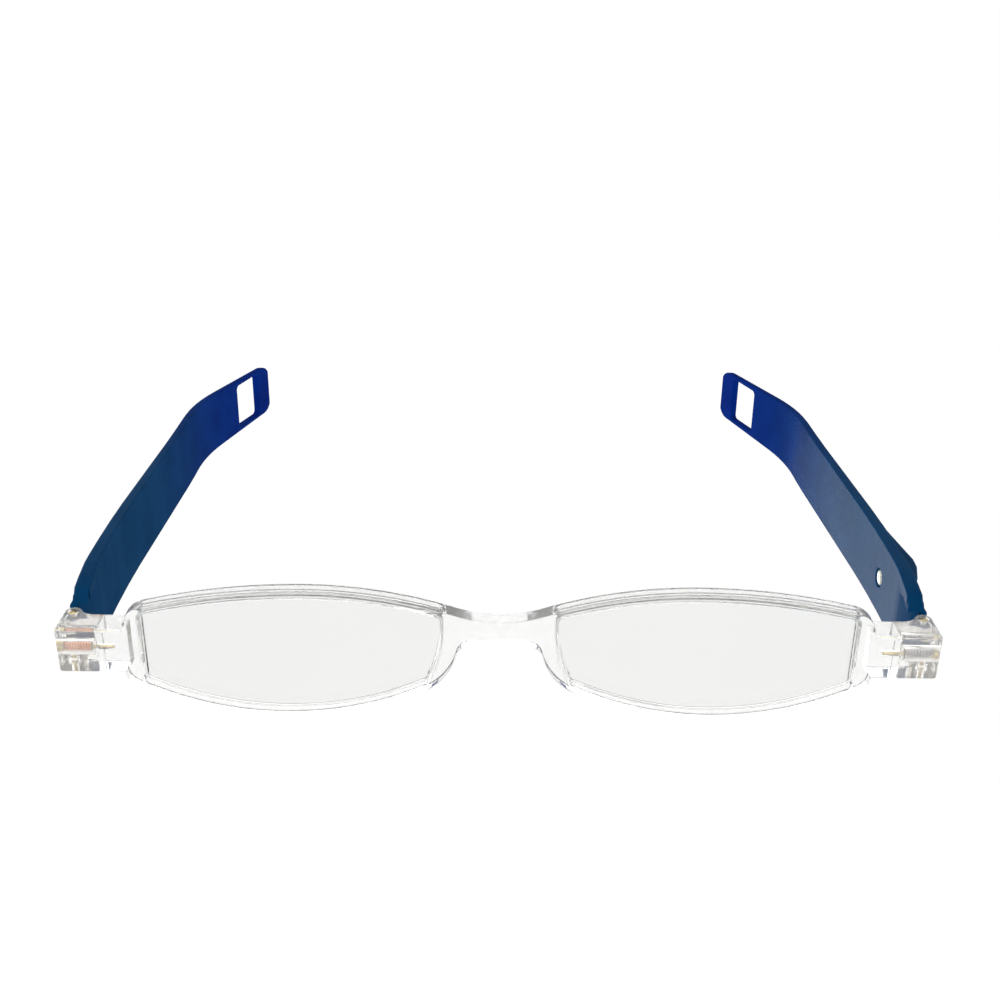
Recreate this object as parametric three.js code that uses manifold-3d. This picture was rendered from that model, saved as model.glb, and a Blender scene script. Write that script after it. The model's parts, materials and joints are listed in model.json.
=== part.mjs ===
// Compact reading glasses: a clear one-piece front with two lenses, an end block at each side that swivels
// on a spring-loaded screw, and a flat navy temple hinged to each block. Millimetres, +Z up, +X across the
// front, the front face towards -Y and the temples towards +Y.
//
// Working frame: x = 0 in the middle of the bridge, y = 0 at the front face, z = 0 at the swivel axes.
// The finished group is shifted so that its origin lies in the middle of the nose arch's flat underside.
// Every side piece is drawn for the +X side ("right") and mirrored for the -X side ("left").

import * as THREE from 'three';
import { mergeVertices } from 'three/addons/utils/BufferGeometryUtils.js';
import Module from 'manifold-3d';

const wasm = await Module();
wasm.setup();

// ---- Driving dimensions ----

const rimDepth = 3.2;
const rimWidth = 1.25; // front face of the rim, above and below the lens
const archZ = 1.55; // flat underside of the nose arch
const front = {
  topCentre: { x: 31, z: 10.9 }, // highest point of each rim
  bottomCentre: { x: 34, z: -12.1 }, // lowest point of each rim
  noseTopRadius: 75,
  templeTopRadius: 106,
  bottomRadius: 51,
};

const lug = { from: 59, to: 63.4, depth: 5.6, halfHeight: 3.7 };
const swivel = { y: lug.depth / 2, gap: 0.1 }; // the swivel axis is a line along X at this y and z = 0
const block = { inner: lug.to + swivel.gap, outer: 70, cornerRadius: 0.8 };
const pin = { x: 68.65, y: 6.45, radius: 0.5, headRadius: 0.85, headThickness: 0.45 };
const barrelRadius = 1.35;
const fairing = { x: 65.2, radius: 2.8 }; // from the barrel down to the block's rear face
const slotHalfHeight = 1.3;

const runningClearance = 0.07;
const screw = {
  tip: 61.2, headFrom: 69.1, headTo: 69.9, radius: 0.45, headRadius: 1.4, slotWidth: 0.35, slotDepth: 0.4,
};
const springBore = { radius: 1.5, from: 64.35 };
const spring = { wireRadius: 0.17, coilRadius: 0.92, turns: 8, from: 64.85, to: 68.9 };
const washer = { from: 64.4, to: 64.62, inner: 0.53, outer: 1.25 };

const lens = { gap: 0.1, front: 1.1, back: 2.9 };
const lensEdge = { reach: 0.4, front: 1.7, back: 2.3 }; // tongue round the lens, held in the rim's groove
const groove = { reach: 0.6, front: 1.5, back: 2.5 };

// The temple follows its inner face: s is the distance along it from the hinge end.
const temple = {
  startX: 66.23,
  startY: 6.0,
  length: 117.8,
  midZ: 0.4,
  frontY: 8.0, // the plate's front end, just behind the block's barrel
  frontHalfHeight: 3.6, // below and above it the front end slopes back by slopeLength
  slopeLength: 2.3,
  // [s, degrees that the face heads inwards]
  headings: [[0, -7.4], [15, -0.9], [35, 2.5], [60, 3.3], [80, 1.8], [95, 20.4], [118, 20.4]],
  // [s, thickness]
  thickness: [[0, 2.8], [12, 2.4], [22, 2.2], [60, 1.7], [118, 1.6]],
  // [s, height]
  heights: [[0, 11.1], [12, 13.1], [78, 13.6], [117.8, 11.5]],
  tipRadius: 3.2,
};
const tipWindow = { from: 103.1, to: 112.7, height: 10.0, cornerRadius: 1.0 };
const foldLimit = 83; // degrees, the further of the two temples
const foldClearance = 0.3;
const leftOpening = 0.8; // degrees by which the left temple stands wider open than the right one

const knuckle = { radius: 1.25, halfHeight: 1.15 };
const boss = { from: 8.3, fullTo: 11, to: 15, halfHeight: 4.1, outerX: 69.75 };

// [s, height above the temple's outer face]
const catchRamp = [[12.7, 1.0], [13.3, 1.65], [17.2, 2.7], [20.0, 2.9], [22.5, 2.6], [31.3, 1.75], [33.6, 0.35]];
const catchHalfHeight = 4.2;
const catchGap = 0.1;
const rivet = {
  s: 21.4, z: 0, radius: 1.0, headRadius: 1.375, headThickness: 0.4, recessRadius: 1.65, recessDepth: 0.45,
};

// ---- Finishes ----

const finishes = {
  clearPlastic: { color: 0xf2f5f4, roughness: 0.06, metalness: 0, transparent: true, opacity: 0.35 },
  clearLens: { color: 0xeef1f0, roughness: 0.03, metalness: 0, transparent: true, opacity: 0.25 },
  navyPlastic: { color: 0x1b3a6e, roughness: 0.55, metalness: 0 },
  copperWire: { color: 0xd08a5a, roughness: 0.3, metalness: 1 },
  steelWire: { color: 0x8d8798, roughness: 0.3, metalness: 1 },
  paleGold: { color: 0xd9c27a, roughness: 0.28, metalness: 1 },
  darkSteel: { color: 0x4a4644, roughness: 0.4, metalness: 1 },
  whiteMetal: { color: 0xdfe0cf, roughness: 0.35, metalness: 0.8 },
};

// ---- Solids ----

function solidOf(geometry) {
  const bare = geometry.clone();
  bare.deleteAttribute('normal');
  bare.deleteAttribute('uv');
  const merged = mergeVertices(bare, 1e-5);
  return new wasm.Manifold(new wasm.Mesh({
    numProp: 3,
    vertProperties: new Float32Array(merged.attributes.position.array),
    triVerts: new Uint32Array(merged.index.array),
  }));
}

function geometryOf(solid) {
  const { vertProperties, triVerts } = solid.getMesh();
  const geometry = new THREE.BufferGeometry();
  geometry.setAttribute('position', new THREE.BufferAttribute(vertProperties, 3));
  geometry.setIndex(Array.from(triVerts));
  geometry.computeVertexNormals();
  return geometry;
}

const join = (first, ...others) => others.reduce((sum, other) => sum.add(other), first);
const cut = (first, ...others) => others.reduce((rest, other) => rest.subtract(other), first);

// The points of a closed outline, without those that repeat the one before.
function outlinePoints(path, curveSegments) {
  const points = path.getPoints(curveSegments);
  return points.filter((point, i) => point.distanceTo(points[(i + points.length - 1) % points.length]) > 1e-3);
}

// Extrudes a closed shape from one coordinate to another along an axis. The shape is drawn in (x, y) for 'z',
// in (x, z) for 'y' and in (y, z) for 'x'.
function prism(shape, from, to, axis, curveSegments = 8) {
  const outline = new THREE.Shape(outlinePoints(shape, curveSegments));
  const geometry = new THREE.ExtrudeGeometry(outline, { depth: to - from, bevelEnabled: false });
  const X = new THREE.Vector3(1, 0, 0);
  const Y = new THREE.Vector3(0, 1, 0);
  const Z = new THREE.Vector3(0, 0, 1);
  const turn = new THREE.Matrix4();
  if (axis === 'x') {
    geometry.translate(0, 0, from);
    geometry.applyMatrix4(turn.makeBasis(Y, Z, X));
  } else if (axis === 'y') {
    geometry.translate(0, 0, -to);
    geometry.applyMatrix4(turn.makeBasis(X, Z, Y.negate()));
  } else {
    geometry.translate(0, 0, from);
  }
  return solidOf(geometry);
}

function circle(x, y, radius) {
  const shape = new THREE.Shape();
  shape.absarc(x, y, radius, 0, 2 * Math.PI);
  return shape;
}

function rectangle(x0, y0, x1, y1) {
  return new THREE.Shape([
    new THREE.Vector2(x0, y0),
    new THREE.Vector2(x1, y0),
    new THREE.Vector2(x1, y1),
    new THREE.Vector2(x0, y1),
  ]);
}

const bar = (from, to, y, z, radius) => prism(circle(y, z, radius), from, to, 'x'); // round, along X
const post = (x, y, radius, from, to) => prism(circle(x, y, radius), from, to, 'z'); // round, along Z

// Adds an arc from the path's end to (x, y). A positive radius turns left and a negative one turns right.
function arcTo(path, x, y, radius) {
  const from = path.currentPoint.clone();
  const chord = new THREE.Vector2(x, y).sub(from);
  const rise = Math.sqrt(radius ** 2 - chord.lengthSq() / 4) * Math.sign(radius);
  const left = new THREE.Vector2(-chord.y, chord.x).normalize();
  const centre = from.clone().addScaledVector(chord, 0.5).addScaledVector(left, rise);
  const start = Math.atan2(from.y - centre.y, from.x - centre.x);
  const end = Math.atan2(y - centre.y, x - centre.x);
  path.absarc(centre.x, centre.y, Math.abs(radius), start, end, radius < 0);
}

// Draws [x, y, radius] corners: each is reached by an arc of that radius, or by a straight line without one.
function trace(path, start, corners) {
  path.moveTo(...start);
  for (const [x, y, radius] of corners) {
    if (radius) arcTo(path, x, y, radius);
    else path.lineTo(x, y);
  }
  return path;
}

// Moves a closed anticlockwise outline outwards.
function widen(points, distance) {
  return points.map((point, i) => {
    const before = points[(i + points.length - 1) % points.length];
    const after = points[(i + 1) % points.length];
    const along = after.clone().sub(before).normalize();
    return new THREE.Vector2(point.x + along.y * distance, point.y - along.x * distance);
  });
}

// ---- Front ----

// Height of a rim arc of the given radius, which has its top or bottom at `centre`, shifted by `inset`.
function rimHeight(x, centre, radius, inset = 0) {
  const side = Math.sign(centre.z);
  const drop = radius - Math.sqrt((radius - inset) ** 2 - (x - centre.x) ** 2);
  return centre.z - side * drop;
}

// The front's right half, from the middle of the bridge's top round to the middle of the nose arch.
function halfFront() {
  const { topCentre, bottomCentre, noseTopRadius, templeTopRadius, bottomRadius } = front;
  const valley = { x: 6.8, radius: 21, z: 5.8 };
  const shoulder = { x: 56.2, radius: 4.16, endZ: 3.82 };
  const heel = { x: 57.9, radius: 2.82, endZ: -3.66 };
  const noseCorner = { x: 12.5, radius: 10.5 };
  const rimEnd = 59.4;
  return [
    [0, valley.z],
    [valley.x, rimHeight(valley.x, topCentre, noseTopRadius), valley.radius],
    [topCentre.x, topCentre.z, -noseTopRadius],
    [shoulder.x, rimHeight(shoulder.x, topCentre, templeTopRadius), -templeTopRadius],
    [rimEnd, shoulder.endZ, -shoulder.radius],
    [rimEnd, heel.endZ],
    [heel.x, rimHeight(heel.x, bottomCentre, bottomRadius), -heel.radius],
    [bottomCentre.x, bottomCentre.z, -bottomRadius],
    [noseCorner.x, rimHeight(noseCorner.x, bottomCentre, bottomRadius), -bottomRadius],
    [6.75, -0.3, -noseCorner.radius],
    [4.4, archZ, 2.4],
    [0, archZ],
  ];
}

function frontShape() {
  const right = halfFront();
  const start = right[0];
  const left = [];
  for (let i = right.length - 1; i > 0; i -= 1) {
    const [x, z] = right[i - 1];
    left.push([-x, z, right[i][2]]);
  }
  return trace(new THREE.Shape(), start, [...right.slice(1), ...left]);
}

// The right lens opening's outline, anticlockwise.
function openingOutline() {
  const { topCentre, bottomCentre, noseTopRadius, templeTopRadius, bottomRadius } = front;
  const top = (x, radius) => rimHeight(x, topCentre, radius, rimWidth);
  const bottom = (x) => rimHeight(x, bottomCentre, bottomRadius, rimWidth);
  const path = trace(new THREE.Path(), [topCentre.x, topCentre.z - rimWidth], [
    [10.4, top(10.4, noseTopRadius), noseTopRadius - rimWidth],
    [9.3, 5.4, 1.2],
    [11.2, -4.7, 22],
    [12.4, bottom(12.4), 1.3],
    [bottomCentre.x, bottomCentre.z + rimWidth, bottomRadius - rimWidth],
    [55.4, bottom(55.4), bottomRadius - rimWidth],
    [56.5, -4.9, 1.2],
    [56.5, 5.4],
    [55.2, top(55.2, templeTopRadius), 1.45],
    [topCentre.x, topCentre.z - rimWidth, templeTopRadius - rimWidth],
  ]);
  return outlinePoints(path, 6);
}

const mirrorPoints = (points) => points.map(({ x, y }) => new THREE.Vector2(-x, y)).reverse();

function lensPlate(outline, reach, from, to) {
  return prism(new THREE.Shape(widen(outline, reach)), from, to, 'y');
}

function frontFrame() {
  const opening = openingOutline();
  const sides = [1, -1];
  const openings = [opening, mirrorPoints(opening)];
  const lugShape = rectangle(0, -lug.halfHeight, lug.depth, lug.halfHeight);
  const holeRadius = screw.radius + runningClearance;
  const holeFrom = screw.tip - 0.2;
  const lugs = sides.map((side) => {
    const [from, to] = side > 0 ? [lug.from, lug.to] : [-lug.to, -lug.from];
    return prism(lugShape, from, to, 'x');
  });
  const holes = sides.map((side) => {
    const [from, to] = side > 0 ? [holeFrom, lug.to + 1] : [-lug.to - 1, -holeFrom];
    return bar(from, to, swivel.y, 0, holeRadius);
  });
  const body = join(prism(frontShape(), 0, rimDepth, 'y'), ...lugs);
  const windows = openings.map((outline) => lensPlate(outline, 0, -1, rimDepth + 1));
  const grooves = openings.map((outline) => lensPlate(outline, groove.reach, groove.front, groove.back));
  return geometryOf(cut(body, ...windows, ...grooves, ...holes));
}

function lensBody() {
  const outline = openingOutline();
  const plate = lensPlate(outline, -lens.gap, lens.front, lens.back);
  const tongue = lensPlate(outline, lensEdge.reach, lensEdge.front, lensEdge.back);
  return geometryOf(join(plate, tongue));
}

// ---- Swivel ----

function swivelBlock() {
  const start = [block.inner, 0];
  const corner = block.cornerRadius;
  const barrelLeave = new THREE.Vector2(barrelRadius, 0).rotateAround(new THREE.Vector2(), (150 * Math.PI) / 180);
  const plan = trace(new THREE.Shape(), start, [
    [block.outer - corner, 0],
    [block.outer, corner, corner],
    [block.outer, pin.y],
    [pin.x + barrelLeave.x, pin.y + barrelLeave.y, barrelRadius],
    [fairing.x, lug.depth, -fairing.radius],
    [block.inner, lug.depth],
  ]);
  const top = lug.halfHeight;
  const body = prism(plan, -top, top, 'z');
  const slotBack = lug.depth + 0.15;
  const slot = join(
    prism(rectangle(fairing.x - 0.5, slotBack, block.outer + 1, pin.y + 3), -slotHalfHeight, slotHalfHeight, 'z'),
    post(pin.x, pin.y, knuckle.radius + 0.2, -slotHalfHeight, slotHalfHeight),
  );
  const pinHole = post(pin.x, pin.y, pin.radius + runningClearance, -top - 1, top + 1);
  const headRecess = pin.headThickness + 0.2;
  const headHoles = [[top - headRecess, top + 1], [-top - 1, -top + headRecess]].map(([from, to]) => (
    post(pin.x, pin.y, pin.headRadius + 0.1, from, to)
  ));
  const springHole = bar(springBore.from, block.outer + 1, swivel.y, 0, springBore.radius);
  const screwHole = bar(block.inner - 1, springBore.from + 0.1, swivel.y, 0, screw.radius + runningClearance);
  return geometryOf(cut(body, slot, pinHole, ...headHoles, springHole, screwHole));
}

function swivelScrew() {
  const shank = bar(screw.tip, screw.headFrom + 0.1, swivel.y, 0, screw.radius);
  const head = bar(screw.headFrom, screw.headTo, swivel.y, 0, screw.headRadius);
  const half = screw.slotWidth / 2;
  const slotShape = rectangle(swivel.y - half, -2, swivel.y + half, 2);
  const slot = prism(slotShape, screw.headTo - screw.slotDepth, screw.headTo + 1, 'x');
  return geometryOf(cut(join(shank, head), slot));
}

class Helix extends THREE.Curve {
  getPoint(t, target = new THREE.Vector3()) {
    const angle = 2 * Math.PI * spring.turns * t;
    const x = spring.from + (spring.to - spring.from) * t;
    const y = swivel.y + spring.coilRadius * Math.cos(angle);
    return target.set(x, y, spring.coilRadius * Math.sin(angle));
  }
}

function swivelSpring() {
  const wire = new THREE.Shape();
  wire.absarc(0, 0, spring.wireRadius, 0, 2 * Math.PI);
  const coil = new THREE.ExtrudeGeometry(wire, {
    extrudePath: new Helix(), steps: spring.turns * 12, curveSegments: 6, bevelEnabled: false,
  });
  return geometryOf(solidOf(coil));
}

function springWasher() {
  const disc = bar(washer.from, washer.to, swivel.y, 0, washer.outer);
  const hole = bar(washer.from - 1, washer.to + 1, swivel.y, 0, washer.inner);
  return geometryOf(cut(disc, hole));
}

// ---- Hinge ----

function hingePin() {
  const headTop = lug.halfHeight - 0.15;
  const headBottom = headTop - pin.headThickness;
  const shank = post(pin.x, pin.y, pin.radius, -headBottom - 0.1, headBottom + 0.1);
  const heads = [[headBottom, headTop], [-headTop, -headBottom]].map(([from, to]) => (
    post(pin.x, pin.y, pin.headRadius, from, to)
  ));
  return geometryOf(join(shank, ...heads));
}

// ---- Temple ----

// Reads a list of [s, value] pairs at s, straight between them.
function at(list, s) {
  const after = Math.max(1, list.findIndex(([position]) => position >= s));
  const [s0, value0] = list[after - 1];
  const [s1, value1] = list[after];
  return value0 + ((value1 - value0) * (s - s0)) / (s1 - s0);
}

// The stations of the inner face, from the hinge end to the tip: position and inward heading.
const stationStep = 0.1;
const stations = (() => {
  const list = [];
  let { startX: x, startY: y } = temple;
  for (let s = 0; s <= temple.length + stationStep / 2; s += stationStep) {
    const heading = THREE.MathUtils.degToRad(at(temple.headings, s));
    list.push({ x, y, heading });
    x -= Math.sin(heading) * stationStep;
    y += Math.cos(heading) * stationStep;
  }
  return list;
})();

const stationAt = (s) => stations[Math.round(s / stationStep)];

// A point at distance s along the temple and `out` outwards from its inner face.
function templePoint(s, out) {
  const { x, y, heading } = stationAt(s);
  return new THREE.Vector2(x + out * Math.cos(heading), y + out * Math.sin(heading));
}

function steps(from, to, count) {
  return Array.from({ length: count + 1 }, (_, i) => from + ((to - from) * i) / count);
}

function templePlate() {
  const places = [...steps(0, 15, 4), ...steps(20, 80, 8), ...steps(82.5, 95, 5), temple.length];
  const inner = places.map((s) => templePoint(s, 0));
  const outer = places.map((s) => templePoint(s, at(temple.thickness, s)));
  const plan = new THREE.Shape([...outer, ...inner.reverse()]);

  const { heights, midZ, tipRadius, frontY, frontHalfHeight, slopeLength } = temple;
  const half = (s) => at(heights, s) / 2;
  const yAt = (s) => stationAt(s).y;
  const tipY = yAt(temple.length) + 0.4;
  const tipZ = half(temple.length);
  const slopeEnd = half(slopeLength);
  const side = trace(new THREE.Shape(), [frontY + slopeLength, midZ - slopeEnd], [
    [yAt(12), midZ - half(12)],
    [yAt(78), midZ - half(78)],
    [tipY - tipRadius, midZ - tipZ],
    [tipY, midZ - tipZ + tipRadius, tipRadius],
    [tipY, midZ + tipZ - tipRadius],
    [tipY - tipRadius, midZ + tipZ, tipRadius],
    [yAt(78), midZ + half(78)],
    [yAt(12), midZ + half(12)],
    [frontY + slopeLength, midZ + slopeEnd],
    [frontY, midZ + frontHalfHeight],
    [frontY, midZ - frontHalfHeight],
    [frontY + slopeLength, midZ - slopeEnd],
  ]);
  const tall = prism(plan, midZ - 2 * tipZ, midZ + 2 * tipZ, 'z');
  return tall.intersect(prism(side, 0, 2 * temple.startX, 'x', 6));
}

// The opening through the temple's tip, square to the plate there.
function tipWindowCut() {
  const { cornerRadius: r, from, to } = tipWindow;
  const half = tipWindow.height / 2;
  const length = to - from;
  const shape = trace(new THREE.Shape(), [r, -half], [
    [length - r, -half],
    [length, r - half, r],
    [length, half - r],
    [length - r, half, r],
    [r, half],
    [0, half - r, r],
    [0, r - half],
    [r, -half, r],
  ]);
  const { x, y, heading } = stationAt(from);
  const along = new THREE.Vector3(-Math.sin(heading), Math.cos(heading), 0);
  const up = new THREE.Vector3(0, 0, 1);
  const through = new THREE.Vector3().crossVectors(along, up);
  const depth = 8;
  const outline = new THREE.Shape(outlinePoints(shape, 4));
  const geometry = new THREE.ExtrudeGeometry(outline, { depth, bevelEnabled: false });
  geometry.translate(0, 0, -depth / 2);
  geometry.applyMatrix4(new THREE.Matrix4().makeBasis(along, up, through));
  geometry.translate(x, y, temple.midZ);
  return solidOf(geometry);
}

// Room for the block's ears: the barrel at every angle, and the block's rear face with the temple folded.
function hingeRelief() {
  const clear = lug.halfHeight + foldClearance;
  const rear = lug.depth + foldClearance;
  const barrel = post(pin.x, pin.y, barrelRadius + foldClearance, -clear, clear);
  const [inner, outer] = [pin.x - 24, pin.x + 4]; // past the plate on both sides
  const folded = new THREE.Shape([
    new THREE.Vector2(inner, 0),
    new THREE.Vector2(outer, 0),
    new THREE.Vector2(outer, rear),
    new THREE.Vector2(pin.x, rear),
    new THREE.Vector2(pin.x, pin.y + 1.3),
    new THREE.Vector2(pin.x - 1.15, pin.y + 1.15),
    new THREE.Vector2(pin.x - 1.95, pin.y + 0.15),
    new THREE.Vector2(fairing.x, rear),
    new THREE.Vector2(inner, rear),
  ]);
  const geometry = new THREE.ExtrudeGeometry(folded, { depth: 2 * clear, bevelEnabled: false });
  geometry.translate(-pin.x, -pin.y, -clear);
  geometry.rotateZ(THREE.MathUtils.degToRad(-foldLimit));
  geometry.translate(pin.x, pin.y, 0);
  return join(barrel, solidOf(geometry));
}

// The round knuckle that sits in the block's slot, its web, and the boss that ties the web to the plate.
function hingeKnuckle() {
  const { radius, halfHeight } = knuckle;
  const webInner = pin.x - 0.3;
  const web = prism(rectangle(webInner, pin.y, boss.outerX, boss.fullTo), -halfHeight, halfHeight, 'z');
  const plateEnd = templePoint(boss.to - boss.from + 4, 2);
  const bossPlan = new THREE.Shape([
    new THREE.Vector2(webInner, boss.from),
    new THREE.Vector2(boss.outerX, boss.from),
    new THREE.Vector2(boss.outerX, boss.fullTo),
    new THREE.Vector2(plateEnd.x, boss.to),
    new THREE.Vector2(plateEnd.x - 1.5, boss.to),
  ]);
  return join(
    post(pin.x, pin.y, radius, -halfHeight, halfHeight),
    web,
    prism(bossPlan, -boss.halfHeight, boss.halfHeight, 'z'),
  );
}

function templeBody(hasCatch) {
  const pinHole = post(pin.x, pin.y, pin.radius + runningClearance, -3, 3);
  const knuckled = cut(join(cut(templePlate(), hingeRelief()), hingeKnuckle()), pinHole, tipWindowCut());
  if (!hasCatch) return geometryOf(knuckled);
  const { x, y } = stationAt(rivet.s);
  const hole = bar(x - 2, x + 6, y, rivet.z, rivet.radius + runningClearance);
  const recess = bar(x - 2, x + rivet.recessDepth, y, rivet.z, rivet.recessRadius);
  return geometryOf(cut(knuckled, hole, recess));
}

// ---- Catch on the right temple's outer face ----

const rivetReach = at(temple.thickness, rivet.s) + 1.1; // how far the rivet's shank goes from the inner face

function catchBody() {
  const places = catchRamp.map(([s]) => s);
  const inner = places.map((s) => templePoint(s, at(temple.thickness, s) + catchGap));
  const outer = catchRamp.map(([s, height]) => templePoint(s, at(temple.thickness, s) + height));
  const plan = new THREE.Shape([...outer, ...inner.reverse()]);
  const middle = temple.midZ;
  const body = prism(plan, middle - catchHalfHeight, middle + catchHalfHeight, 'z');
  const { x, y } = stationAt(rivet.s);
  const hole = bar(x, x + rivetReach + 0.1, y, rivet.z, rivet.radius + runningClearance);
  return geometryOf(cut(body, hole));
}

function catchRivet() {
  const { x, y } = stationAt(rivet.s);
  const headFrom = x + rivet.recessDepth - rivet.headThickness - 0.05; // flush with the inner face
  const headTo = headFrom + rivet.headThickness;
  return geometryOf(join(
    bar(headFrom, headTo, y, rivet.z, rivet.headRadius),
    bar(headTo - 0.1, x + rivetReach, y, rivet.z, rivet.radius),
  ));
}

// ---- Assembly ----

function mirrored(geometry) {
  const copy = geometry.clone().scale(-1, 1, 1);
  const index = copy.index.array;
  for (let i = 0; i < index.length; i += 3) {
    const first = index[i];
    index[i] = index[i + 1];
    index[i + 1] = first;
  }
  copy.computeVertexNormals();
  return copy;
}

// Turns the left temple outwards about its pin.
function openedWider(geometry) {
  geometry.translate(pin.x, -pin.y, 0);
  geometry.rotateZ(THREE.MathUtils.degToRad(leftOpening));
  return geometry.translate(-pin.x, pin.y, 0);
}

const glasses = new THREE.Group();
glasses.position.set(0, -rimDepth / 2, -archZ);

function add(name, geometry, finish) {
  const mesh = new THREE.Mesh(geometry, new THREE.MeshStandardMaterial(finish));
  mesh.name = name;
  glasses.add(mesh);
}

function addPair(name, geometry, finish, leftFinish = finish) {
  add(`right_${name}`, geometry, finish);
  add(`left_${name}`, mirrored(geometry), leftFinish);
}

add('front_frame', frontFrame(), finishes.clearPlastic);
addPair('lens', lensBody(), finishes.clearLens);
addPair('swivel_block', swivelBlock(), finishes.clearPlastic);
addPair('swivel_screw', swivelScrew(), finishes.paleGold);
addPair('swivel_spring', swivelSpring(), finishes.steelWire, finishes.copperWire);
addPair('spring_washer', springWasher(), finishes.darkSteel);
addPair('hinge_pin', hingePin(), finishes.paleGold);
add('right_temple', templeBody(true), finishes.navyPlastic);
add('left_temple', openedWider(mirrored(templeBody(false))), finishes.navyPlastic);
add('temple_catch', catchBody(), finishes.navyPlastic);
add('catch_rivet', catchRivet(), finishes.whiteMetal);

export default glasses;
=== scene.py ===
"""Looks of the clear reading glasses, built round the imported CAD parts.

Lengths are written in millimetres and scaled to metres by MM. Right is +X, the temples run towards +Y, and
up is +Z.
"""

import json
import math

import bmesh
import bpy
from mathutils import Matrix, Vector

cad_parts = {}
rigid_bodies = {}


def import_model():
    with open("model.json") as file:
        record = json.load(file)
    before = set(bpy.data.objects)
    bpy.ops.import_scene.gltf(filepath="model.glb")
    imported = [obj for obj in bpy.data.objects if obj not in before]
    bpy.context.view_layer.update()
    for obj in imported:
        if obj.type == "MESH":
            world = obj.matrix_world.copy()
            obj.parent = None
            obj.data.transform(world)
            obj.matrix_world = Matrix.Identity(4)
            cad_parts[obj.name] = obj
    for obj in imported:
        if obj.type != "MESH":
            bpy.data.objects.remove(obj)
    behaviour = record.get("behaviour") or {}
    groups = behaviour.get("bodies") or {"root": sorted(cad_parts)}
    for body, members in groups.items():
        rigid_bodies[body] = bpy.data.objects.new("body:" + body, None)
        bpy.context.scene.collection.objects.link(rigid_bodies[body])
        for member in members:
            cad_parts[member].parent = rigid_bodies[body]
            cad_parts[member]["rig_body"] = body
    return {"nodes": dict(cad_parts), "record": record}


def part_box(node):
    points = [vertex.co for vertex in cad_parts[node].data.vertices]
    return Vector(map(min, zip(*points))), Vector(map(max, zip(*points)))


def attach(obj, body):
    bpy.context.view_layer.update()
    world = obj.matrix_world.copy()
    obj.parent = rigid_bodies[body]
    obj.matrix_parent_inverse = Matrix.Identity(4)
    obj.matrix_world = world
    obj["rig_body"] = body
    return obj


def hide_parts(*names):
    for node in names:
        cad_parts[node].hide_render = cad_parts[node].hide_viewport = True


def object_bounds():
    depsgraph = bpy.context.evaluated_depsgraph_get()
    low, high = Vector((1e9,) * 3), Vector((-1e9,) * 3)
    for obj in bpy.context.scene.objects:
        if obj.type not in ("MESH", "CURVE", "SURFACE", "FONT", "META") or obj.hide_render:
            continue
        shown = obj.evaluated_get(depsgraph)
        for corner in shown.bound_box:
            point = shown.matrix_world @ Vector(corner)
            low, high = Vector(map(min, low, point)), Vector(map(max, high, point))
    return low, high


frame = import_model()
cad_low, cad_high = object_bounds()

MM = 0.001
Y, Z = 1, 2  # places in a vector
SIDES = ("right", "left")

SHARP_EDGE = math.radians(50)
FRONT_ROUNDING = 0.3
BLOCK_ROUNDING = 0.22
TEMPLE_ROUNDING = 0.3
TEMPLE_OUTER_ROUNDING = 0.5
WINDOW_ROUNDING = 0.2
CATCH_ROUNDING = 0.3
LENS_CROWN = 0.25
LENS_HOLLOW = 0.2
SPRING_TURNS = 8
THREAD_PITCH = 0.3


# ---- Places read from the frame ----


def extent(node):
    """A node's lowest and highest corner, in millimetres."""
    low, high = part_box(node)
    return low / MM, high / MM


def middle(node):
    low, high = extent(node)
    return (low + high) / 2


def outward(side):
    """The sign of X that leads away from the middle of the glasses."""
    return 1 if side == "right" else -1


def window_middle(side):
    """The middle of the window through a temple's tip."""
    openings = {opening["name"]: opening["box_m"] for opening in frame["record"]["physics"]["openings"]}
    low, high = openings[f"{side}_tip_window"]
    return (Vector(low) + Vector(high)) / 2 / MM


# ---- Meshes ----


def cad_shape(node):
    """A CAD node's surface with whole faces in place of triangles."""
    shape = bmesh.new()
    shape.from_mesh(frame["nodes"][node].data)
    bmesh.ops.remove_doubles(shape, verts=shape.verts, dist=0.002 * MM)
    bmesh.ops.dissolve_limit(shape, angle_limit=math.radians(0.4), verts=shape.verts, edges=shape.edges)
    shape.normal_update()
    return shape


def lies_in_plane(part, axis, places):
    """Tells whether an edge or face lies in one of the planes across the axis, at places in millimetres."""
    return any(all(abs(vert.co[axis] / MM - place) < 0.01 for vert in part.verts) for place in places)


def round_edges(shape, width, chosen, segments=3):
    """Rounds the convex sharp edges that the test accepts."""
    shape.normal_update()
    edges = [
        edge
        for edge in shape.edges
        if edge.is_manifold and edge.calc_face_angle_signed(0) > SHARP_EDGE and chosen(edge)
    ]
    bmesh.ops.bevel(
        shape,
        geom=edges,
        offset=width * MM,
        segments=segments,
        profile=0.5,
        affect="EDGES",
        clamp_overlap=False,
    )


def loft(rings):
    """A skin over rings of the same number of points, in millimetres, closed by a fan at each end."""
    shape = bmesh.new()
    rows = [[shape.verts.new(Vector(point) * MM) for point in ring] for ring in rings]
    count = len(rows[0])
    for row, after in zip(rows, rows[1:]):
        for i in range(count):
            j = (i + 1) % count
            shape.faces.new((row[i], row[j], after[j], after[i]))
    for row, order in ((rows[0], -1), (rows[-1], 1)):
        tip = shape.verts.new(sum((vert.co for vert in row), Vector()) / count)
        for i in range(count):
            shape.faces.new((row[i], row[(i + 1) % count], tip)[::order])
    bmesh.ops.recalc_face_normals(shape, faces=shape.faces)
    return shape


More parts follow.
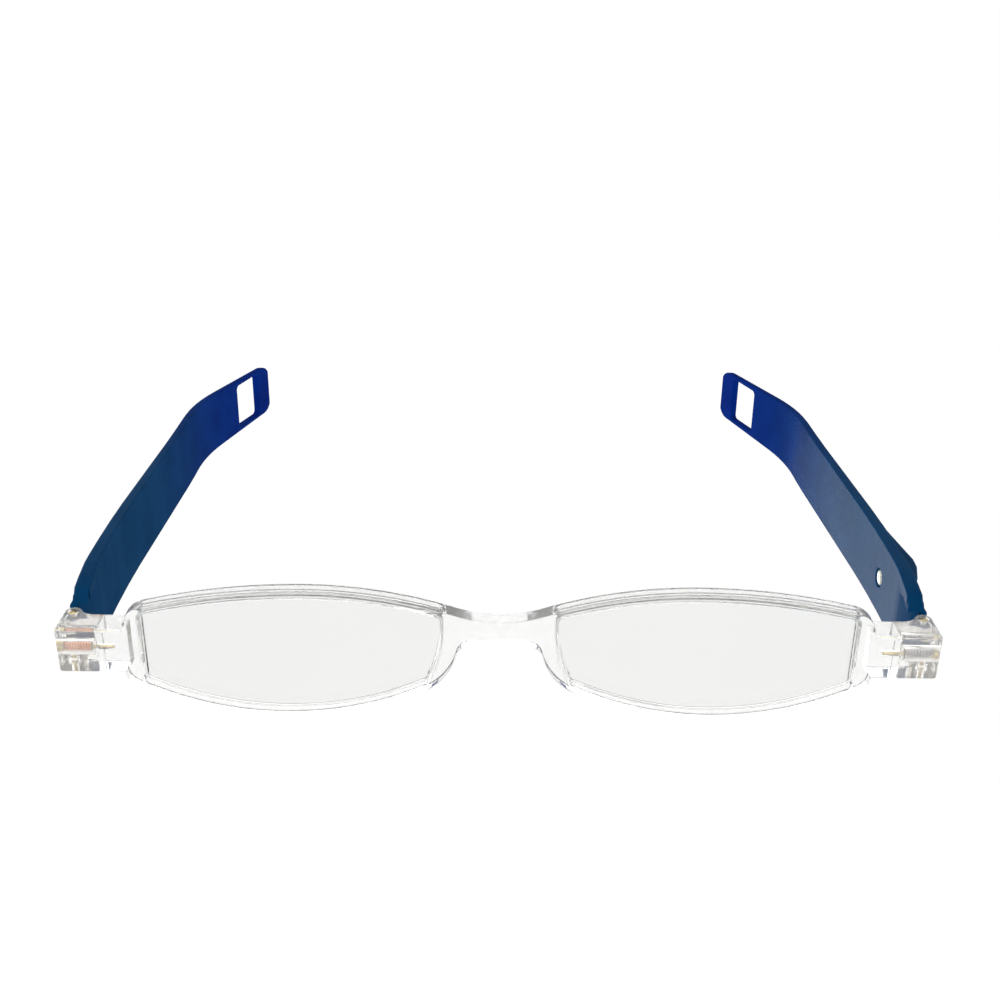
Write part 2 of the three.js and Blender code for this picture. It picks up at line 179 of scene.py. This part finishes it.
def lathe(profile, centre, axis, thread=None):
    """Turns (place along the axis, radius) pairs round an axis through the centre.

    A thread is a function of the place and the angle, and what it gives is added to the radius.
    """
    segments = 48
    rings = []
    for place, radius in profile:
        ring = []
        for i in range(segments):
            angle = 2 * math.pi * i / segments
            reach = radius + (thread(place, angle) if thread else 0)
            across, up = reach * math.cos(angle), reach * math.sin(angle)
            if axis == "X":
                ring.append((place, centre.y + across, centre.z + up))
            else:
                ring.append((centre.x + across, centre.y + up, place))
        rings.append(ring)
    return loft(rings)


def cut_away(shape, low, high):
    """Takes a box out of a closed shape."""
    tool = bmesh.new()
    bmesh.ops.create_cube(tool, size=1)
    size = Vector(high) - Vector(low)
    place = Matrix.Translation((Vector(low) + Vector(high)) / 2 * MM) @ Matrix.Diagonal((*(size * MM), 1))
    bmesh.ops.transform(tool, matrix=place, verts=tool.verts)
    objects = []
    for name, source in (("target", shape), ("tool", tool)):
        mesh = bpy.data.meshes.new(name)
        source.to_mesh(mesh)
        source.free()
        objects.append(bpy.data.objects.new(name, mesh))
        bpy.context.scene.collection.objects.link(objects[-1])
    target, cutter = objects
    modifier = target.modifiers.new("cut", "BOOLEAN")
    modifier.operation = "DIFFERENCE"
    modifier.solver = "EXACT"
    modifier.object = cutter
    result = bmesh.new()
    result.from_object(target, bpy.context.evaluated_depsgraph_get())
    for item in objects:
        bpy.data.objects.remove(item)
    return result


def add_piece(name, shape, node, material, sharp=34):
    """Makes the object, puts it on the node's body and shows it in the node's place.

    Edges bent by more than `sharp` degrees stay crisp.
    """
    mesh = bpy.data.meshes.new(name)
    shape.to_mesh(mesh)
    shape.free()
    mesh.shade_smooth()
    mesh.set_sharp_from_angle(angle=math.radians(sharp))
    mesh.materials.append(material)
    piece = bpy.data.objects.new(name, mesh)
    bpy.context.scene.collection.objects.link(piece)
    normals = piece.modifiers.new("even_normals", "WEIGHTED_NORMAL")
    normals.keep_sharp = True
    normals.weight = 80
    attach(piece, frame["nodes"][node]["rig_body"])
    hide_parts(node)


# ---- Materials ----


NOISE_RANGE = (0.3, 0.7)  # where nearly all of a noise field lies


class Finish:
    """A material on the standard shader, with object coordinates in metres."""

    def __init__(self, name, **constants):
        self.material = bpy.data.materials.new(name)
        self.material.use_nodes = True
        self.tree = self.material.node_tree
        self.shader = self.tree.nodes["Principled BSDF"]
        for socket, value in constants.items():
            self.shader.inputs[socket.replace("_", " ")].default_value = value
        self.place = self.tree.nodes.new("ShaderNodeTexCoord").outputs["Object"]

    def link(self, source, target):
        self.tree.links.new(source, target)

    def noise(self, size, detail=3.0):
        """A noise field whose features are about `size` millimetres across."""
        mapping = self.tree.nodes.new("ShaderNodeMapping")
        mapping.inputs["Scale"].default_value = [1 / (size * MM)] * 3
        noise = self.tree.nodes.new("ShaderNodeTexNoise")
        noise.inputs["Scale"].default_value = 1
        noise.inputs["Detail"].default_value = detail
        self.link(self.place, mapping.inputs["Vector"])
        self.link(mapping.outputs["Vector"], noise.inputs["Vector"])
        return noise.outputs["Fac"]

    def towards_tip(self, start):
        """A field that runs from 0, at `start` millimetres along +Y, to 1 at the temples' tips."""
        parts = self.tree.nodes.new("ShaderNodeSeparateXYZ")
        reach = self.tree.nodes.new("ShaderNodeMapRange")
        reach.interpolation_type = "SMOOTHSTEP"
        reach.inputs["From Min"].default_value = start * MM
        reach.inputs["From Max"].default_value = cad_high.y
        self.link(self.place, parts.inputs["Vector"])
        self.link(parts.outputs["Y"], reach.inputs["Value"])
        return reach.outputs["Result"]

    def colours(self, field, low, high):
        """Turns a noise field into a drift from one colour to another."""
        node = self.tree.nodes.new("ShaderNodeValToRGB")
        for element, position, colour in zip(node.color_ramp.elements, NOISE_RANGE, (low, high)):
            element.position = position
            element.color = (*colour, 1)
        self.link(field, node.inputs["Fac"])
        return node.outputs["Color"]

    def spread(self, field, low, high):
        """Turns a noise field into a value between low and high."""
        node = self.tree.nodes.new("ShaderNodeMapRange")
        node.inputs["From Min"].default_value, node.inputs["From Max"].default_value = NOISE_RANGE
        node.inputs["To Min"].default_value = low
        node.inputs["To Max"].default_value = high
        self.link(field, node.inputs["Value"])
        return node.outputs["Result"]

    def blend(self, field, low, high):
        """Passes from one source to another as the field goes from 0 to 1."""
        mix = self.tree.nodes.new("ShaderNodeMix")
        mix.data_type = "RGBA"
        factor, low_colour, high_colour = mix.inputs[0], mix.inputs[6], mix.inputs[7]
        self.link(field, factor)
        self.link(low, low_colour)
        self.link(high, high_colour)
        return mix.outputs[2]

    def bump(self, field, height):
        """Raises the surface by the field, `height` millimetres from its lowest to its highest."""
        node = self.tree.nodes.new("ShaderNodeBump")
        node.inputs["Distance"].default_value = height * MM
        node.inputs["Strength"].default_value = 1
        self.link(field, node.inputs["Height"])
        self.link(node.outputs["Normal"], self.shader.inputs["Normal"])


def clear_finish(name, tints, roughness, ior, flow_size, flow_height, haze=None):
    """Moulded clear plastic: a faint tint that drifts, uneven polish, slow flow waves and cloudy patches."""
    finish = Finish(name, IOR=ior, Transmission_Weight=1.0)
    flow = finish.noise(flow_size, detail=2.0)
    if haze:
        patches = finish.spread(finish.noise(flow_size / 2), 1 - haze[0], 1 - haze[1])
        finish.link(patches, finish.shader.inputs["Transmission Weight"])
    finish.link(finish.colours(flow, *tints), finish.shader.inputs["Base Color"])
    finish.link(finish.spread(finish.noise(flow_size / 4), *roughness), finish.shader.inputs["Roughness"])
    finish.bump(flow, flow_height)
    return finish.material


def soft_touch_finish(name):
    """Navy soft-touch coating: fine grain, cloudy handling marks, a satin front end and duller tip, and
    painted sheen: the blue is greyer towards the hinge and deeper towards the tip.
    """
    finish = Finish(name, Specular_IOR_Level=0.024)
    clouds = finish.noise(9, detail=4.0)
    grain = finish.noise(0.3)
    # The greyer blue towards the hinge is painted sheen, blended into the deeper tip blue along the temple.
    painted_sheen_blue = finish.colours(clouds, (0.001, 0.046, 0.135), (0.005, 0.062, 0.17))
    deep = finish.colours(clouds, (0.0002, 0.014, 0.16), (0.0006, 0.024, 0.23))
    tip = finish.towards_tip(start=40)
    finish.link(finish.blend(tip, painted_sheen_blue, deep), finish.shader.inputs["Base Color"])
    satin, matte = finish.spread(grain, 0.32, 0.46), finish.spread(grain, 0.62, 0.76)
    finish.link(finish.blend(tip, satin, matte), finish.shader.inputs["Roughness"])
    finish.bump(grain, 0.02)
    return finish.material


def metal_finish(name, dark, light, roughness):
    finish = Finish(name, Metallic=1.0)
    grain = finish.noise(0.25, detail=4.0)
    finish.link(finish.colours(grain, dark, light), finish.shader.inputs["Base Color"])
    finish.link(finish.spread(grain, *roughness), finish.shader.inputs["Roughness"])
    finish.bump(grain, 0.004)
    return finish.material


FRONT_CLEAR = clear_finish(
    "clear_front",
    tints=((0.96, 0.965, 0.955), (0.98, 0.98, 0.97)),
    roughness=(0.03, 0.09),
    ior=1.46,
    flow_size=6,
    flow_height=0.02,
    haze=(0.04, 0.14),
)
BLOCK_CLEAR = clear_finish(
    "clear_block",
    tints=((0.97, 0.955, 0.915), (0.98, 0.975, 0.96)),
    roughness=(0.04, 0.1),
    ior=1.44,
    flow_size=6,
    flow_height=0.03,
    haze=(0.14, 0.24),
)
LENS_CLEAR = clear_finish(
    "clear_lens",
    tints=((0.874, 0.879, 0.868), (0.888, 0.89, 0.878)),
    roughness=(0.0, 0.01),
    ior=1.56,
    flow_size=20,
    flow_height=0.002,
)
NAVY = soft_touch_finish("navy_soft_touch")
COPPER = metal_finish("copper_wire", (0.7, 0.22, 0.06), (0.92, 0.4, 0.16), (0.22, 0.38))
STEEL = metal_finish("steel_wire", (0.3, 0.27, 0.34), (0.52, 0.49, 0.56), (0.22, 0.38))
GOLD = metal_finish("pale_gold", (0.62, 0.49, 0.22), (0.85, 0.74, 0.45), (0.14, 0.3))
DARK_STEEL = metal_finish("dark_washer", (0.05, 0.045, 0.045), (0.12, 0.11, 0.11), (0.3, 0.5))
RIVET_METAL = metal_finish("rivet_metal", (0.6, 0.6, 0.5), (0.86, 0.87, 0.78), (0.25, 0.4))


# ---- Front ----


def make_front():
    """The moulding with its face edges softened; the grooves that hold the lenses stay crisp."""
    low, high = extent("front_frame")
    rim_back = -low.y
    faces = (low.y, rim_back, high.y)
    shape = cad_shape("front_frame")
    round_edges(shape, FRONT_ROUNDING, lambda edge: lies_in_plane(edge, Y, faces))
    add_piece("front_moulding", shape, "front_frame", FRONT_CLEAR)


def outline_of(node):
    """The lens plate's outline on its front face, in order, in millimetres."""
    low, _ = extent(node)
    shape = cad_shape(node)
    flat = [face for face in shape.faces if lies_in_plane(face, Y, (low.y,))]
    largest = max(flat, key=lambda face: face.calc_area())
    points = [vert.co / MM for vert in largest.verts]
    shape.free()
    return points


def offset_ring(points, distance, y):
    """The outline moved outwards in its own plane, at another depth."""
    centre = sum(points, Vector()) / len(points)
    ring = []
    for i, point in enumerate(points):
        along = (points[(i + 1) % len(points)] - points[i - 1]).normalized()
        normal = Vector((along.z, 0, -along.x))
        if normal.dot(point - centre) < 0:
            normal = -normal
        moved = point + normal * distance
        ring.append(Vector((moved.x, y, moved.z)))
    return ring


def make_lens(side):
    """A lens with a crowned front, a slightly hollow back and the tongue round its edge."""
    node = f"{side}_lens"
    low, high = extent(node)
    front, back = low.y, high.y
    outline = outline_of(node)
    plate_half = max(point.x for point in outline) - middle(node).x
    tongue_reach = (high.x - low.x) / 2 - plate_half
    tongue_front, tongue_back = front + 0.6, back - 0.6
    plate_chamfer = 0.12
    tongue_chamfer = 0.08
    inner_steps = [0.12, 0.25, 0.4, 0.55, 0.7, 0.82, 0.92]

    def scaled(ring, share, lift):
        centre = sum(ring, Vector()) / len(ring)
        return [centre + (point - centre) * share + Vector((0, lift * (1 - share**2), 0)) for point in ring]

    front_rim = offset_ring(outline, -plate_chamfer, front + LENS_CROWN)
    back_rim = offset_ring(outline, -plate_chamfer, back)
    rings = [scaled(front_rim, share, -LENS_CROWN) for share in inner_steps]
    rings += [
        front_rim,
        offset_ring(outline, 0, front + LENS_CROWN + plate_chamfer),
        offset_ring(outline, 0, tongue_front),
        offset_ring(outline, tongue_reach - tongue_chamfer, tongue_front),
        offset_ring(outline, tongue_reach, tongue_front + tongue_chamfer),
        offset_ring(outline, tongue_reach, tongue_back - tongue_chamfer),
        offset_ring(outline, tongue_reach - tongue_chamfer, tongue_back),
        offset_ring(outline, 0, tongue_back),
        offset_ring(outline, 0, back - plate_chamfer),
        back_rim,
    ]
    rings += [scaled(back_rim, share, -LENS_HOLLOW) for share in reversed(inner_steps)]
    add_piece(f"{side}_optic", loft(rings), node, LENS_CLEAR, sharp=25)


# ---- Swivels and hinges ----


def make_block(side):
    """The block with its top and bottom outline softened; the holes for the pin stay crisp."""
    node = f"{side}_swivel_block"
    low, high = extent(node)
    pin = middle(f"{side}_hinge_pin")
    pin_hole_reach = 1.1
    shape = cad_shape(node)

    def on_outline(edge):
        from_pin = min((vert.co.xy / MM - pin.xy).length for vert in edge.verts)
        return lies_in_plane(edge, Z, (low.z, high.z)) and from_pin > pin_hole_reach

    round_edges(shape, BLOCK_ROUNDING, on_outline)
    add_piece(f"{side}_end_block", shape, node, BLOCK_CLEAR)


def make_screw(side):
    """A cheese-head screw: domed head with a slot at the outer end and a thread at the inner end."""
    node = f"{side}_swivel_screw"
    low, high = extent(node)
    centre = middle(node)
    out = outward(side)
    tip, top = (low.x, high.x) if out > 0 else (high.x, low.x)
    head_radius = (high.z - low.z) / 2
    head_height = 0.8
    shank_radius = 0.45
    tip_chamfer = 0.12
    thread_start, thread_end = 0.15, 2.2
    thread_depth = 0.07
    thread_step = 0.03
    slot_depth = 0.4
    slot_half_width = 0.17

    def ripple(x, angle):
        along = (x - tip) * out
        if not thread_start < along < thread_end:
            return 0
        wave = (along / THREAD_PITCH - angle / (2 * math.pi)) % 1
        return -thread_depth * abs(2 * wave - 1)

    thread_rings = int((thread_end - thread_start) / thread_step)
    profile = [(tip, shank_radius - tip_chamfer), (tip + out * tip_chamfer, shank_radius)]
    profile += [(tip + out * (thread_start + thread_step * i), shank_radius) for i in range(thread_rings)]
    profile += [(tip + out * thread_end, shank_radius), (top - out * head_height, shank_radius)]
    head_outline = [(head_height, 0.08), (head_height - 0.08, 0)]
    head_outline += [(0.3, 0), (0.14, 0.06), (0.04, 0.22), (0, 0.5)]
    profile += [(top - out * depth, head_radius - inset) for depth, inset in head_outline]
    shape = lathe(profile, centre, "X", thread=ripple)
    slot_low, slot_high = sorted((top - out * slot_depth, top + out * slot_depth / 2))
    slotted = cut_away(
        shape,
        (slot_low, centre.y - slot_half_width, centre.z - head_radius - 1),
        (slot_high, centre.y + slot_half_width, centre.z + head_radius + 1),
    )
    add_piece(f"{side}_screw", slotted, node, GOLD, sharp=40)


def make_spring(side, finish):
    """A compression spring with its end coils closed up."""
    node = f"{side}_swivel_spring"
    low, high = extent(node)
    centre = middle(node)
    wire = 0.17
    coil = (high.z - low.z) / 2 - wire
    closed_turns = 0.75  # at each end
    closed_pitch = 2 * wire * 1.05
    turns = SPRING_TURNS + 2 * closed_turns
    per_turn = 36
    sections = 12
    count = int(turns * per_turn)

    def along(share):
        closed = closed_turns / turns
        closed_length = closed_pitch * closed_turns
        length = high.x - low.x - 2 * wire
        if share < closed:
            return closed_length * share / closed
        if share > 1 - closed:
            return length - closed_length * (1 - share) / closed
        return closed_length + (length - 2 * closed_length) * (share - closed) / (1 - 2 * closed)

    rings = []
    for i in range(count + 1):
        angle = 2 * math.pi * i / per_turn
        radial = Vector((0, math.cos(angle), math.sin(angle)))
        spot = Vector((low.x + wire + along(i / count), centre.y, centre.z)) + radial * coil
        ring = []
        for k in range(sections):
            turn = 2 * math.pi * k / sections
            ring.append(spot + wire * (radial * math.cos(turn) + Vector((1, 0, 0)) * math.sin(turn)))
        rings.append(ring)
    add_piece(f"{side}_spring", loft(rings), node, finish, sharp=60)


def make_pin(side):
    """A riveted hinge pin with a domed head at both ends."""
    node = f"{side}_hinge_pin"
    low, high = extent(node)
    centre = middle(node)
    head_radius = (high.x - low.x) / 2
    head_height = 0.45
    shank_radius = 0.5
    dome = [(0, 0.25), (0.03, 0.45), (0.09, 0.66), (0.18, 0.79)]
    dome += [(0.3, head_radius), (head_height, head_radius)]
    profile = [(low.z + drop, radius) for drop, radius in dome]
    profile += [(low.z + head_height, shank_radius), (high.z - head_height, shank_radius)]
    profile += [(high.z - drop, radius) for drop, radius in reversed(dome)]
    add_piece(f"{side}_pin", lathe(profile, centre, "Z"), node, GOLD, sharp=50)


def dress_washer(side):
    """The washer keeps its CAD shape and gets its own metal."""
    washer = frame["nodes"][f"{side}_spring_washer"]
    washer.data.materials.clear()
    washer.data.materials.append(DARK_STEEL)


# ---- Temples ----


def make_temple(side):
    """The temple with its long edges, tip and window softened. The hinge end keeps its moulded edges."""
    node = f"{side}_temple"
    block_low, block_high = extent(f"{side}_swivel_block")
    window = window_middle(side)
    window_half_length, window_half_height = 5.4, 5.2  # with room for its corners
    clearance = TEMPLE_ROUNDING + 0.01
    hinge_end = 2  # behind the block, kept as moulded
    shape = cad_shape(node)

    def clear_of_hinge(edge):
        ends = [vert.co / MM for vert in edge.verts]
        passes_block = all(
            point.z > block_high.z + clearance or point.z < block_low.z - clearance for point in ends
        )
        return min(point.y for point in ends) > block_high.y + (0 if passes_block else hinge_end)

    def faces_outwards(edge):
        return any(face.normal.x * outward(side) > 0.5 for face in edge.link_faces)

    def on_window(edge):
        offsets = [vert.co / MM - window for vert in edge.verts]
        return all(abs(step.y) < window_half_length and abs(step.z) < window_half_height for step in offsets)

    def on_outline(edge):
        return clear_of_hinge(edge) and not on_window(edge)

    def on_outer_outline(edge):
        return on_outline(edge) and faces_outwards(edge)

    round_edges(shape, WINDOW_ROUNDING, on_window)
    round_edges(shape, TEMPLE_OUTER_ROUNDING, on_outer_outline, segments=4)
    round_edges(shape, TEMPLE_ROUNDING, on_outline)
    add_piece(f"{side}_arm", shape, node, NAVY, sharp=32)


def make_catch():
    """The raised plate with its edges softened; the hole for the rivet stays crisp."""
    rivet = middle("catch_rivet")
    rivet_hole_reach = 1.6
    shape = cad_shape("temple_catch")

    def clear_of_rivet(edge):
        return min((vert.co.yz / MM - rivet.yz).length for vert in edge.verts) > rivet_hole_reach

    round_edges(shape, CATCH_ROUNDING, clear_of_rivet)
    add_piece("catch_plate", shape, "temple_catch", NAVY, sharp=32)


def make_rivet():
    """A rivet with a domed head on the inner side."""
    low, high = extent("catch_rivet")
    centre = middle("catch_rivet")
    head_radius = (high.z - low.z) / 2
    head_height = 0.4
    shank_radius = 1.0
    dome = [(0, 0.5), (0.04, 0.95), (0.1, 1.2), (0.2, head_radius), (head_height, head_radius)]
    profile = [(low.x + drop, radius) for drop, radius in dome]
    profile += [(low.x + head_height, shank_radius), (high.x, shank_radius)]
    add_piece("rivet", lathe(profile, centre, "X"), "catch_rivet", RIVET_METAL, sharp=50)


make_front()
for side in SIDES:
    make_lens(side)
    make_block(side)
    make_screw(side)
    make_pin(side)
    dress_washer(side)
    make_temple(side)
make_spring("right", STEEL)
make_spring("left", COPPER)
make_catch()
make_rivet()


# ---- Stage ----


def make_floor():
    """A white light-table under the glasses, so that they stand on plain white."""
    reach = 4.0  # metres
    level = cad_low.z - 0.02 * MM
    mesh = bpy.data.meshes.new("floor")
    corners = [(-reach, -reach, level), (reach, -reach, level), (reach, reach, level), (-reach, reach, level)]
    mesh.from_pydata(corners, [], [(0, 1, 2, 3)])
    floor = bpy.data.objects.new("floor", mesh)
    bpy.context.scene.collection.objects.link(floor)
    material = bpy.data.materials.new("white_floor")
    material.use_nodes = True
    shader = material.node_tree.nodes["Principled BSDF"]
    shader.inputs["Base Color"].default_value = (0.1, 0.1, 0.1, 1)
    shader.inputs["Specular IOR Level"].default_value = 0
    shader.inputs["Emission Color"].default_value = (1, 1, 1, 1)
    shader.inputs["Emission Strength"].default_value = 0.96
    mesh.materials.append(material)
    floor.visible_glossy = False


def make_world():
    """Plain white for the camera, and soft surroundings of their own for each kind of light.

    Reflections see a dark patch behind the camera and at the low rear, and one glow at the left rear. Light
    bent by the clear parts comes mostly from above. Scattered light comes mostly from the front.
    """
    world = bpy.data.worlds.new("studio")
    bpy.context.scene.world = world
    world.use_nodes = True
    tree = world.node_tree
    tree.nodes.clear()
    direction = tree.nodes.new("ShaderNodeTexCoord").outputs["Generated"]
    path = tree.nodes.new("ShaderNodeLightPath")

    def lobe(towards, start, end, low, high):
        """Goes from low to high as the cosine of the angle from a direction goes from start to end."""
        dot = tree.nodes.new("ShaderNodeVectorMath")
        dot.operation = "DOT_PRODUCT"
        dot.inputs[1].default_value = Vector(towards).normalized()
        tree.links.new(direction, dot.inputs[0])
        spread = tree.nodes.new("ShaderNodeMapRange")
        spread.interpolation_type = "SMOOTHSTEP"
        for socket, value in (("From Min", start), ("From Max", end), ("To Min", low), ("To Max", high)):
            spread.inputs[socket].default_value = value
        tree.links.new(dot.outputs["Value"], spread.inputs["Value"])
        return spread.outputs["Result"]

    def combine(operation, first, second):
        node = tree.nodes.new("ShaderNodeMath")
        node.operation = operation
        tree.links.new(first, node.inputs[0])
        tree.links.new(second, node.inputs[1])
        return node.outputs["Value"]

    def choose(kind, otherwise, wanted):
        node = tree.nodes.new("ShaderNodeMix")
        factor, first, second = node.inputs[0], node.inputs[2], node.inputs[3]
        tree.links.new(path.outputs[kind], factor)
        tree.links.new(otherwise, first)
        tree.links.new(wanted, second)
        return node.outputs[0]

    up = (0, 0, 1)
    overhead = lobe(up, -0.2, 0.8, 0.8, 0.75)
    camera_side = lobe((0, -1, 0.55), 0.9, 0.985, 1.0, 0.12)
    low_rear = lobe((0.25, 1, -0.5), 0.7, 0.95, 1.0, 0.15)
    left_glow = lobe((-0.26, 0.86, -0.46), 0.97, 0.998, 0.0, 4.0)
    dimmed = combine("MULTIPLY", camera_side, low_rear)
    reflected = combine("ADD", combine("MULTIPLY", overhead, dimmed), left_glow)

    half_dimmed = tree.nodes.new("ShaderNodeMapRange")
    half_dimmed.inputs["To Min"].default_value = 0.6
    tree.links.new(dimmed, half_dimmed.inputs["Value"])
    refracted = combine("MULTIPLY", lobe(up, -0.6, 0.3, 1.15, 2.4), half_dimmed.outputs["Result"])

    frontal = lobe((0, -1, -0.15), 0.1, 0.9, 0.75, 1.8)
    scattered = combine("MULTIPLY", frontal, lobe(up, 0.3, 0.9, 1.0, 0.45))

    strength = choose("Is Transmission Ray", choose("Is Diffuse Ray", reflected, scattered), refracted)
    lighting = tree.nodes.new("ShaderNodeBackground")
    tree.links.new(strength, lighting.inputs["Strength"])
    backdrop = tree.nodes.new("ShaderNodeBackground")
    backdrop.inputs["Color"].default_value = (1, 1, 1, 1)
    mix = tree.nodes.new("ShaderNodeMixShader")
    tree.links.new(path.outputs["Is Camera Ray"], mix.inputs["Fac"])
    tree.links.new(lighting.outputs["Background"], mix.inputs[1])
    tree.links.new(backdrop.outputs["Background"], mix.inputs[2])
    output = tree.nodes.new("ShaderNodeOutputWorld")
    tree.links.new(mix.outputs["Shader"], output.inputs["Surface"])


def make_softbox(name, place, size, power):
    """A rectangular lamp that faces the glasses. Its place and size are in metres, and its power in watts."""
    light = bpy.data.lights.new(name, "AREA")
    light.shape = "RECTANGLE"
    light.size, light.size_y = size
    light.energy = power
    lamp = bpy.data.objects.new(name, light)
    lamp.location = place
    lamp.rotation_mode = "QUATERNION"
    lamp.rotation_quaternion = (-Vector(place)).to_track_quat("-Z", "Y")
    bpy.context.scene.collection.objects.link(lamp)


def make_camera():
    """Looks down on the front from a little left of the middle."""
    place = Vector((-1.321, -178.858, 107.16)) * MM
    pitch, roll, yaw = math.radians(24.73), math.radians(0.696), math.radians(0.376)
    forward = Vector((math.sin(yaw) * math.cos(pitch), math.cos(yaw) * math.cos(pitch), -math.sin(pitch)))
    level = Vector((math.cos(yaw), -math.sin(yaw), 0))
    up = level.cross(forward)
    across = level * math.cos(roll) + up * math.sin(roll)
    upright = up * math.cos(roll) - level * math.sin(roll)
    data = bpy.data.cameras.new("camera")
    data.lens = 47.0
    data.sensor_width = 36.0
    data.clip_start, data.clip_end = 0.01, 20
    camera = bpy.data.objects.new("camera", data)
    turn = Matrix((across, upright, -forward)).transposed().to_4x4()
    camera.matrix_world = Matrix.Translation(place) @ turn
    bpy.context.scene.collection.objects.link(camera)
    bpy.context.scene.camera = camera


make_floor()
make_world()
make_softbox("top_box", place=(-0.15, 0.25, 0.6), size=(0.5, 0.35), power=0.5)
make_softbox("left_box", place=(-0.6, 0.3, 0.2), size=(0.3, 0.5), power=1.0)
make_camera()
bpy.context.scene.view_settings.view_transform = "Standard"
